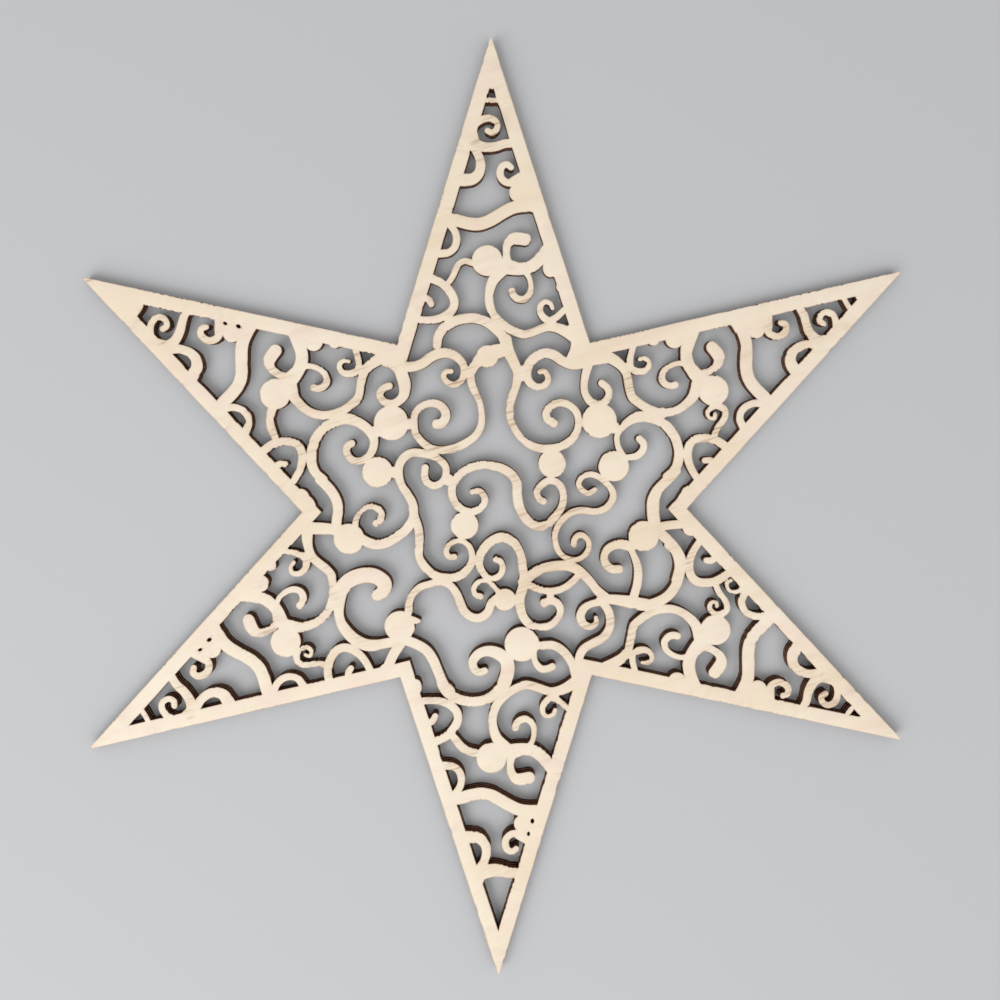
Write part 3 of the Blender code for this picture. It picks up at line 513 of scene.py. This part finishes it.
def woodField():
    # metres from the cut line, positive in wood
    cell = board["cell"]
    half = board["edgeRadius"] + board["margin"] * cell
    axis = np.arange(-half, half + cell, cell)
    x, y = np.meshgrid(axis, axis)
    depth = depthInStar(x, y)
    field = board["frameWidth"] - depth

    def window(cx, cy, reach):
        i0, i1 = np.searchsorted(axis, (cx - reach, cx + reach))
        j0, j1 = np.searchsorted(axis, (cy - reach, cy + reach))
        return slice(j0, j1), slice(i0, i1)

    bed, bedRadius = cutting["pinholeBed"]
    discs = [woodDiscs()]
    for name in cutting["pinholePoints"]:
        discs.append(discAt(fromPoint([bed], *starPoints[name][:3]), bedRadius))
    for cx, cy, radius in np.vstack(discs):
        here = window(cx, cy, radius + board["discMargin"] * cell)
        field[here] = np.maximum(field[here], radius - np.hypot(x[here] - cx, y[here] - cy))
    field = np.minimum(field, depth)
    field = np.minimum(field, board["edgeRadius"] - board["tipBlunt"] - np.hypot(x, y))
    field += cutting["waver"] * softNoise(x, y, cutting["waverLength"])
    c, s = turnParts(cutting["grainTurn"])
    squeeze = cutting["nickLength"] / cutting["nickReach"]
    nicks = softNoise(x * c + y * s, (y * c - x * s) * squeeze, cutting["nickLength"])
    patches = cutting["patchContrast"] * softNoise(x, y, cutting["nickPatch"])
    patches = np.clip(cutting["patchShare"] + patches, 0, 1)
    field -= cutting["nick"] * np.maximum(nicks, 0) * patches
    for name in cutting["pinholePoints"]:
        turn, mirrored, nudge = starPoints[name][:3]
        c, s = turnParts(turn)
        for place, halfLength, halfBreadth in cutting["pinholes"]:
            cx, cy = toBoard(fromPoint([place], turn, mirrored, nudge))[0]
            here = window(cx, cy, cutting["pinholeReach"] * halfLength)
            along = (x[here] - cx) * s + (y[here] - cy) * c
            aside = (x[here] - cx) * c - (y[here] - cy) * s
            hole = (np.hypot(along / halfLength, aside / halfBreadth) - 1) * halfBreadth
            field[here] = np.minimum(field[here], hole)
    return axis, field


# which sides of a grid cell the line enters and leaves by, for each set of corners in wood
cellLines = {
    1: ["BL"], 2: ["RB"], 3: ["RL"], 4: ["TR"], 5: ["BL", "TR"], 6: ["TB"], 7: ["TL"],
    8: ["LT"], 9: ["BT"], 10: ["RB", "LT"], 11: ["RT"], 12: ["LR"], 13: ["BR"], 14: ["LB"],
}


def loopsAt(axis, field, level):
    # closed lines where the field has one value, wood on their left
    wood = field > level
    code = wood[:-1, :-1] + 2 * wood[:-1, 1:] + 4 * wood[1:, 1:] + 8 * wood[1:, :-1]
    follows = {}
    for j, i in np.argwhere((code > 0) & (code < 15)).tolist():
        sides = {"B": (j, i, 0), "T": (j + 1, i, 0), "L": (j, i, 1), "R": (j, i + 1, 1)}
        for start, end in cellLines[code[j, i]]:
            follows[sides[start]] = sides[end]
    loops = []
    while follows:
        side = next(iter(follows))
        loop = []
        while side in follows:
            j, i, upright = side
            f0 = field[j, i] - level
            f1 = field[j + upright, i + 1 - upright] - level
            step = board["cell"] * f0 / (f0 - f1)
            loop.append((axis[i] + step * (1 - upright), axis[j] + step * upright))
            side = follows.pop(side)
        loops.append(np.array(loop))
    return [loop for loop in loops if abs(loopArea(loop)) > board["speck"]]


def loopArea(loop):
    x, y = loop.T
    return (x * np.roll(y, -1) - y * np.roll(x, -1)).sum() / 2


def lighter(loop, stray):
    # as few corners as keep every facet within the given distance of the line
    count = len(loop)
    kept = []
    start = 0
    while start < count:
        kept.append(start)
        stop = start + 2
        while stop <= count:
            chord = loop[stop % count] - loop[start]
            between = loop[start + 1:stop] - loop[start]
            off = np.abs(chord[0] * between[:, 1] - chord[1] * between[:, 0])
            if off.max() > stray * math.hypot(*chord):
                break
            stop += 1
        start = stop - 1
    return loop[kept]


def deepestNear(field, reach):
    # the greatest depth of wood within a reach of each place
    deepest = field
    for _ in range(int(reach / board["cell"])):
        for way in (0, 1):
            either = np.maximum(np.roll(deepest, 1, way), np.roll(deepest, -1, way))
            deepest = np.maximum(deepest, either)
    return deepest


axis, field = woodField()
rim = {"width": 0.00032, "stray": 0.00003}
slim = {"full": 0.0009, "none": 0.0017, "reach": 0.0012}    # half widths of a scroll
slimness = (slim["none"] - deepestNear(field, slim["reach"])) / (slim["none"] - slim["full"])
slimness = np.clip(slimness, 0, 1)
cutLoops = [lighter(loop, board["stray"]) for loop in loopsAt(axis, field, 0)]
rimLoops = [lighter(loop, rim["stray"]) for loop in loopsAt(axis, field, rim["width"])]
print("cut line:", len(cutLoops) - 1, "openings,", sum(len(loop) for loop in cutLoops), "corners")


def lineMesh(name, withRim):
    # the cut lines, and the lines a rim's width inside the wood, as closed chains of edges
    mesh = bpy.data.meshes.new(name)
    places = []
    edges = []
    inner = []
    for loops, mark in ((cutLoops, 0.0), (rimLoops if withRim else [], 1.0)):
        for loop in loops:
            first = len(places)
            count = len(loop)
            places += [(x, y, 0) for x, y in loop]
            edges += [(first + k, first + (k + 1) % count) for k in range(count)]
            inner += [mark] * count
    mesh.from_pydata(places, edges, [])
    cells = (np.array(places)[:, :2] - axis[0]) / board["cell"]
    column, row = np.rint(cells).astype(int).T
    mesh.attributes.new("inner", "FLOAT", "POINT").data.foreach_set("value", inner)
    mesh.attributes.new("slim", "FLOAT", "POINT").data.foreach_set("value", slimness[row, column])
    return mesh


def veneerTree():
    # closed lines to a flat sheet with a worn, scorched rim and upright walls
    tree = bpy.data.node_groups.new("veneerSheet", "GeometryNodeTree")
    face = tree.interface
    face.new_socket("Lines", in_out="INPUT", socket_type="NodeSocketGeometry")
    for name in ("Thickness", "Bottom", "Rim Width", "Rim Wear"):
        face.new_socket(name, in_out="INPUT", socket_type="NodeSocketFloat")
    face.new_socket("Finish", in_out="INPUT", socket_type="NodeSocketMaterial")
    face.new_socket("Veneer", in_out="OUTPUT", socket_type="NodeSocketGeometry")

    def add(kind, links=None, **settings):
        node = tree.nodes.new(kind)
        for key, value in settings.items():
            setattr(node, key, value)
        for socket, value in (links or {}).items():
            for source in value if isinstance(value, list) else [value]:
                if isinstance(source, bpy.types.NodeSocket):
                    tree.links.new(source, node.inputs[socket])
                else:
                    node.inputs[socket].default_value = source
        return node

    def read(name):
        return add("GeometryNodeInputNamedAttribute", {"Name": name}, data_type="FLOAT").outputs[0]

    def store(geometry, name, value, domain):
        kind = "GeometryNodeStoreNamedAttribute"
        links = {"Geometry": geometry, "Name": name, "Value": value}
        return add(kind, links, data_type="FLOAT", domain=domain).outputs[0]

    def weld(geometry):
        links = {"Geometry": geometry, "Distance": board["weld"]}
        return add("GeometryNodeMergeByDistance", links).outputs[0]

    given = add("NodeGroupInput").outputs
    chosen = {"Geometry": given["Lines"], "Selection": read("inner")}
    rimEdges, cutEdges = add("GeometryNodeSeparateGeometry", chosen).outputs
    rimLine = add("GeometryNodeMeshToCurve", {"Mesh": rimEdges}).outputs[0]
    cutLine = add("GeometryNodeMeshToCurve", {"Mesh": cutEdges}).outputs[0]
    both = add("GeometryNodeJoinGeometry", {"Geometry": [cutLine, rimLine]}).outputs[0]
    band = add("GeometryNodeFillCurve", {"Curve": both}).outputs[0]
    middle = add("GeometryNodeFillCurve", {"Curve": rimLine}).outputs[0]
    sheet = weld(add("GeometryNodeJoinGeometry", {"Geometry": [band, middle]}).outputs[0])

    gap = add("GeometryNodeProximity", {0: cutEdges}, target_element="EDGES").outputs["Distance"]
    share = add("ShaderNodeMath", {0: gap, 1: given["Rim Width"]}, operation="DIVIDE").outputs[0]
    scorch = add("ShaderNodeMath", {0: 1.0, 1: share}, operation="SUBTRACT", use_clamp=True)
    sheet = store(sheet, "scorch", scorch.outputs[0], "POINT")

    lines = given["Lines"]
    nearest = add("GeometryNodeSampleNearest", {"Geometry": lines}, domain="POINT").outputs[0]
    slimThere = add("GeometryNodeSampleIndex", {
        "Geometry": lines, "Value": read("slim"), "Index": nearest,
    }, data_type="FLOAT", domain="POINT").outputs[0]
    sheet = store(sheet, "slim", slimThere, "POINT")

    up = add("FunctionNodeInputVector", vector=(0, 0, 1)).outputs[0]
    raised = add("GeometryNodeExtrudeMesh", {
        "Mesh": sheet, "Offset": up, "Offset Scale": given["Thickness"], "Individual": False,
    }, mode="FACES").outputs
    solid = store(raised["Mesh"], "wall", raised["Side"], "FACE")
    wear = {0: read("scorch"), 1: given["Rim Wear"]}
    drop = add("ShaderNodeMath", wear, operation="MULTIPLY").outputs[0]
    down = add("ShaderNodeMath", {0: drop, 1: -1.0}, operation="MULTIPLY").outputs[0]
    down = add("ShaderNodeCombineXYZ", {"Z": down}).outputs[0]
    solid = add("GeometryNodeSetPosition", {
        "Geometry": solid, "Selection": raised["Top"], "Offset": down,
    }).outputs[0]

    under = add("GeometryNodeFillCurve", {"Curve": cutLine}).outputs[0]
    under = add("GeometryNodeFlipFaces", {"Mesh": under}).outputs[0]
    solid = weld(add("GeometryNodeJoinGeometry", {"Geometry": [solid, under]}).outputs[0])
    place = add("ShaderNodeCombineXYZ", {"Z": given["Bottom"]}).outputs[0]
    solid = add("GeometryNodeSetPosition", {"Geometry": solid, "Offset": place}).outputs[0]
    solid = add("GeometryNodeRealizeInstances", {"Geometry": solid}).outputs[0]
    solid = add("GeometryNodeSetMaterial", {"Geometry": solid, "Material": given["Finish"]})
    add("NodeGroupOutput", {"Veneer": solid.outputs[0]})
    return tree


class Wire:
    # a node's output that can stand in a sum
    def __init__(self, finish, socket):
        self.finish = finish
        self.socket = socket

    def sum(self, operation, first, second):
        return self.finish.node("ShaderNodeMath", {"operation": operation}, {0: first, 1: second})

    def __add__(self, other):
        return self.sum("ADD", self, other)

    def __radd__(self, other):
        return self.sum("ADD", other, self)

    def __sub__(self, other):
        return self.sum("SUBTRACT", self, other)

    def __rsub__(self, other):
        return self.sum("SUBTRACT", other, self)

    def __mul__(self, other):
        return self.sum("MULTIPLY", self, other)

    def __rmul__(self, other):
        return self.sum("MULTIPLY", other, self)

    def __pow__(self, other):
        return self.sum("POWER", self, other)


class Finish:
    # a material under construction
    def __init__(self, name):
        self.material = bpy.data.materials.new(name)
        self.material.use_nodes = True
        self.tree = self.material.node_tree
        self.shader = self.tree.nodes["Principled BSDF"]

    def put(self, socket, value):
        if isinstance(value, Wire):
            self.tree.links.new(value.socket, socket)
        else:
            socket.default_value = value

    def node(self, kind, settings, sockets, output=0):
        node = self.tree.nodes.new(kind)
        for key, value in settings.items():
            setattr(node, key, value)
        for key, value in sockets.items():
            self.put(node.inputs[key], value)
        return Wire(self, node.outputs[output])

    def mix(self, factor, first, second):
        settings = {"data_type": "RGBA", "clamp_factor": True}
        return self.node("ShaderNodeMix", settings, {0: factor, 6: first, 7: second}, 2)

    def attribute(self, name):
        return self.node("ShaderNodeAttribute", {"attribute_name": name}, {}, "Fac")

    def noise(self, vector, detail, roughness):
        sockets = {"Vector": vector, "Scale": 1.0, "Detail": detail, "Roughness": roughness}
        return self.node("ShaderNodeTexNoise", {"noise_dimensions": "3D"}, sockets)

    def ramp(self, value, low, high):
        # 0 at low, 1 at high
        sockets = {"Value": value, "From Min": low, "From Max": high}
        return self.node("ShaderNodeMapRange", {"interpolation_type": "SMOOTHSTEP"}, sockets)

    def grainSpace(self, turn, stretch):
        # coordinates along, across and through the grain
        place = self.node("ShaderNodeTexCoord", {}, {}, "Object")
        turned = self.node("ShaderNodeMapping", {}, {"Vector": place, "Rotation": (0, 0, -turn)})
        return self.node("ShaderNodeMapping", {}, {"Vector": turned, "Scale": stretch})


def colour(red, green, blue):
    # screen values of 0 to 255 to a linear colour
    linear = [((v / 255 + 0.055) / 1.055) ** 2.4 for v in (red, green, blue)]
    return (*linear, 1)


# noise of each feature: features a metre along, across and through the grain, detail, roughness
grain = {
    "cloud": ((12, 34, 34), 3.0, 0.55),
    "blush": ((110, 190, 190), 2.0, 0.5),
    "streak": ((14, 150, 150), 4.0, 0.6),
    "fibre": ((220, 3600, 3600), 3.0, 0.6),
    "band": ((60, 1400, 1400), 2.0, 0.6),
    "patch": ((130, 130, 130), 2.0, 0.5),
    "soot": ((900, 900, 900), 2.0, 0.6),
    "char": ((1500, 1500, 90), 3.0, 0.6),
}

# noise values at which a feature begins to show and is full
shows = {
    "cloud": (0.3, 0.72),
    "blush": (0.45, 0.7),
    "streak": (0.5, 0.78),
    "fibre": (0.52, 0.8),
    "band": (0.5, 0.66),
    "patch": (0.38, 0.66),
    "char": (0.3, 0.75),
}

surface = {
    "scorchFall": 1.3,        # how soon the scorch fades from the cut
    "sootBase": 0.35,
    "sootShare": 0.7,
    "fibreRough": 0.12,
    "wallRough": 0.2,
    "specular": 0.18,
    "fibreRelief": 0.6,
    "streakRelief": 0.4,
    "charRelief": 1.5,
    "reliefDepth": 0.0001,
}


def birch(name, look):
    finish = Finish(name)
    noises = {}
    for feature, (stretch, detail, roughness) in grain.items():
        turn = 0 if feature == "char" else math.radians(look["grainTurn"])
        noises[feature] = finish.noise(finish.grainSpace(turn, stretch), detail, roughness)
    masks = {feature: finish.ramp(noises[feature], *limits) for feature, limits in shows.items()}
    scorch = finish.attribute("scorch")
    wall = finish.attribute("wall")

    wood = finish.mix(masks["cloud"], look["pale"], look["warm"])
    wood = finish.mix(masks["blush"] * look["blush"], wood, look["blushColour"])
    wood = finish.mix(masks["streak"] * look["streak"], wood, look["tan"])
    wood = finish.mix(masks["fibre"] * look["fibre"], wood, look["tan"])
    # heat stains the grain lines where a scroll is slim
    stain = finish.attribute("slim") * masks["patch"]
    wood = finish.mix(stain * look["stain"], wood, look["tan"])
    wood = finish.mix(stain * masks["band"] * look["band"], wood, look["bandColour"])
    soot = noises["soot"] * surface["sootShare"] + surface["sootBase"]
    edge = scorch ** surface["scorchFall"] * soot * look["scorch"]
    wood = finish.mix(edge, wood, look["scorchColour"])
    burnt = finish.mix(masks["char"], look["charDark"], look["charLight"])
    finish.put(finish.shader.inputs["Base Color"], finish.mix(wall, wood, burnt))

    fibre = noises["fibre"]
    rough = look["rough"] + fibre * surface["fibreRough"] + wall * surface["wallRough"]
    finish.put(finish.shader.inputs["Roughness"], rough)
    finish.put(finish.shader.inputs["Specular IOR Level"], surface["specular"])
    relief = fibre * surface["fibreRelief"] + noises["streak"] * surface["streakRelief"]
    relief = relief * (1 - wall) + noises["char"] * wall * surface["charRelief"]
    sockets = {"Strength": look["bump"], "Distance": surface["reliefDepth"], "Height": relief}
    finish.put(finish.shader.inputs["Normal"], finish.node("ShaderNodeBump", {}, sockets))
    return finish.material


charLook = {
    "charDark": colour(48, 21, 7),
    "charLight": colour(96, 51, 21),
    "scorch": 0.65,
    "scorchColour": colour(140, 96, 58),
    "bandColour": colour(158, 120, 92),
}

frontVeneer = {
    "bottom": 0.0021, "thickness": 0.0009, "rimWear": 0.00006,
    "grainTurn": 17, "pale": colour(246, 233, 213), "warm": colour(240, 222, 196),
    "tan": colour(224, 199, 168), "blushColour": colour(243, 222, 206),
    "blush": 0.7, "streak": 0.4, "fibre": 0.3, "stain": 0.4, "band": 0.65,
    "rough": 0.52, "bump": 0.35, **charLook,
}

coreVeneer = {
    "bottom": 0.0010, "thickness": 0.0010, "rimWear": 0.0,
    "grainTurn": 107, "pale": colour(226, 203, 172), "warm": colour(214, 186, 152),
    "tan": colour(196, 162, 124), "blushColour": colour(216, 190, 164),
    "blush": 0.4, "streak": 0.5, "fibre": 0.4, "stain": 0.5, "band": 0.6,
    "rough": 0.6, "bump": 0.35, **charLook,
}

backVeneer = {
    "bottom": 0.0, "thickness": 0.0009, "rimWear": 0.00006,
    "grainTurn": 21, "pale": colour(240, 226, 205), "warm": colour(232, 212, 186),
    "tan": colour(214, 186, 152), "blushColour": colour(234, 212, 194),
    "blush": 0.5, "streak": 0.5, "fibre": 0.4, "stain": 0.6, "band": 0.9,
    "rough": 0.56, "bump": 0.4, **charLook,
}

sheetTree = veneerTree()


def buildVeneer(name, look, faceDown=False):
    withRim = look["rimWear"] > 0
    base = bpy.data.objects.new(name + "Lines", lineMesh(name + "Lines", withRim))
    bpy.context.scene.collection.objects.link(base)
    modifier = base.modifiers.new("sheet", "NODES")
    modifier.node_group = sheetTree
    sockets = {item.name: item.identifier for item in sheetTree.interface.items_tree}
    modifier[sockets["Thickness"]] = look["thickness"]
    modifier[sockets["Bottom"]] = look["bottom"]
    modifier[sockets["Rim Width"]] = rim["width"]
    modifier[sockets["Rim Wear"]] = look["rimWear"]
    modifier[sockets["Finish"]] = birch(name + "Birch", look)
    ready = base.evaluated_get(bpy.context.evaluated_depsgraph_get())
    mesh = bpy.data.meshes.new_from_object(ready)
    base.modifiers.remove(modifier)
    bpy.data.objects.remove(base)
    mesh.name = name
    if faceDown:
        for vertex in mesh.vertices:
            vertex.co.z = 2 * look["bottom"] + look["thickness"] - vertex.co.z
    work = bmesh.new()
    work.from_mesh(mesh)
    bmesh.ops.recalc_face_normals(work, faces=work.faces)
    openEdges = sum(not edge.is_manifold for edge in work.edges)
    work.to_mesh(mesh)
    work.free()
    mesh.shade_smooth()
    mesh.set_sharp_from_angle(angle=math.radians(board["crease"]))
    veneer = bpy.data.objects.new(name, mesh)
    bpy.context.scene.collection.objects.link(veneer)
    triangles = sum(len(face.vertices) - 2 for face in mesh.polygons)
    print(name + ":", triangles, "triangles,", openEdges, "open edges")
    return veneer


front = buildVeneer("frontVeneer", frontVeneer)
core = buildVeneer("coreVeneer", coreVeneer)
back = buildVeneer("backVeneer", backVeneer, faceDown=True)
for piece, node, slot in (
    (front, "front_veneer", "front_veneer"),
    (core, "core_veneer", "core_veneer"),
    (back, "back_veneer", "back_veneer"),
):
    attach(piece, "root")
    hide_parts(node)

# floor and light
stage = {
    "floorColour": colour(198, 199, 201),
    "floorRough": 0.9,
    "floorSpecular": 0.1,
    "floorSize": 12.0,
    "drop": 0.0002,    # below the back face
}
floorMesh = bpy.data.meshes.new("floor")
half = stage["floorSize"] / 2
corners = [(-half, -half), (half, -half), (half, half), (-half, half)]
floorMesh.from_pydata([(x, y, -stage["drop"]) for x, y in corners], [], [(0, 1, 2, 3)])
floor = bpy.data.objects.new("floor", floorMesh)
bpy.context.scene.collection.objects.link(floor)
floorFinish = Finish("floorPaint")
floorFinish.put(floorFinish.shader.inputs["Base Color"], stage["floorColour"])
floorFinish.put(floorFinish.shader.inputs["Roughness"], stage["floorRough"])
floorFinish.put(floorFinish.shader.inputs["Specular IOR Level"], stage["floorSpecular"])
floorMesh.materials.append(floorFinish.material)

# each lamp's name, place, size in metres and power in watts
lights = {
    "sky": 0.6,
    "lamps": [
        ("keyLamp", (-0.6, -0.6, 0.7), 0.9, 6.8),
        ("fillLamp", (0.7, -0.6, 1.3), 1.2, 3.6),
    ],
}
world = bpy.data.worlds.new("studio")
bpy.context.scene.world = world
world.use_nodes = True
world.node_tree.nodes["Background"].inputs["Color"].default_value = (1, 1, 1, 1)
world.node_tree.nodes["Background"].inputs["Strength"].default_value = lights["sky"]
for name, place, size, power in lights["lamps"]:
    lamp = bpy.data.lights.new(name, "AREA")
    lamp.size = size
    lamp.energy = power
    lampObject = bpy.data.objects.new(name, lamp)
    lampObject.location = place
    lampObject.rotation_mode = "QUATERNION"
    lampObject.rotation_quaternion = (-lampObject.location).to_track_quat("-Z", "Y")
    bpy.context.scene.collection.objects.link(lampObject)
print("floor and", len(lights["lamps"]), "lamps in place")

# camera above, as in the photograph, a degree off square and over the upper half of the star
shot = {
    "frame": 1000,              # pixels on a side of the picture
    "height": 0.215,            # above the front face
    "pixelsPerMetre": 3502.3,   # at the star's centre
    "starAt": (494.8, 510.5),   # pixel of the star's centre
    "standsOver": (500, 380),   # pixel under the lens
    "turn": (-0.0151, -0.0065, -0.008),    # radians
    "sensor": 36,
    "clipStart": 0.01,
}
camera = bpy.data.cameras.new("camera")
across = (shot["standsOver"][0] - shot["starAt"][0]) / shot["pixelsPerMetre"]
upward = (shot["starAt"][1] - shot["standsOver"][1]) / shot["pixelsPerMetre"]
c = math.cos(shot["turn"][2])
s = math.sin(shot["turn"][2])
cameraObject = bpy.data.objects.new("camera", camera)
faceHeight = frontVeneer["bottom"] + frontVeneer["thickness"]
place = (across * c - upward * s, across * s + upward * c, faceHeight + shot["height"])
cameraObject.location = place
cameraObject.rotation_euler = shot["turn"]
toStar = -cameraObject.location
toStar.z += faceHeight
toStar = cameraObject.rotation_euler.to_matrix().transposed() @ toStar
camera.sensor_width = shot["sensor"]
camera.lens = shot["pixelsPerMetre"] * -toStar.z * shot["sensor"] / shot["frame"]
camera.shift_x = 0.5 - (shot["starAt"][0] - shot["pixelsPerMetre"] * toStar.x) / shot["frame"]
camera.shift_y = (shot["starAt"][1] + shot["pixelsPerMetre"] * toStar.y) / shot["frame"] - 0.5
camera.clip_start = shot["clipStart"]
bpy.context.scene.collection.objects.link(cameraObject)
bpy.context.scene.camera = cameraObject
bpy.context.scene.view_settings.view_transform = "Standard"
print("camera: lens", round(camera.lens, 2), "shift", round(camera.shift_y, 3))
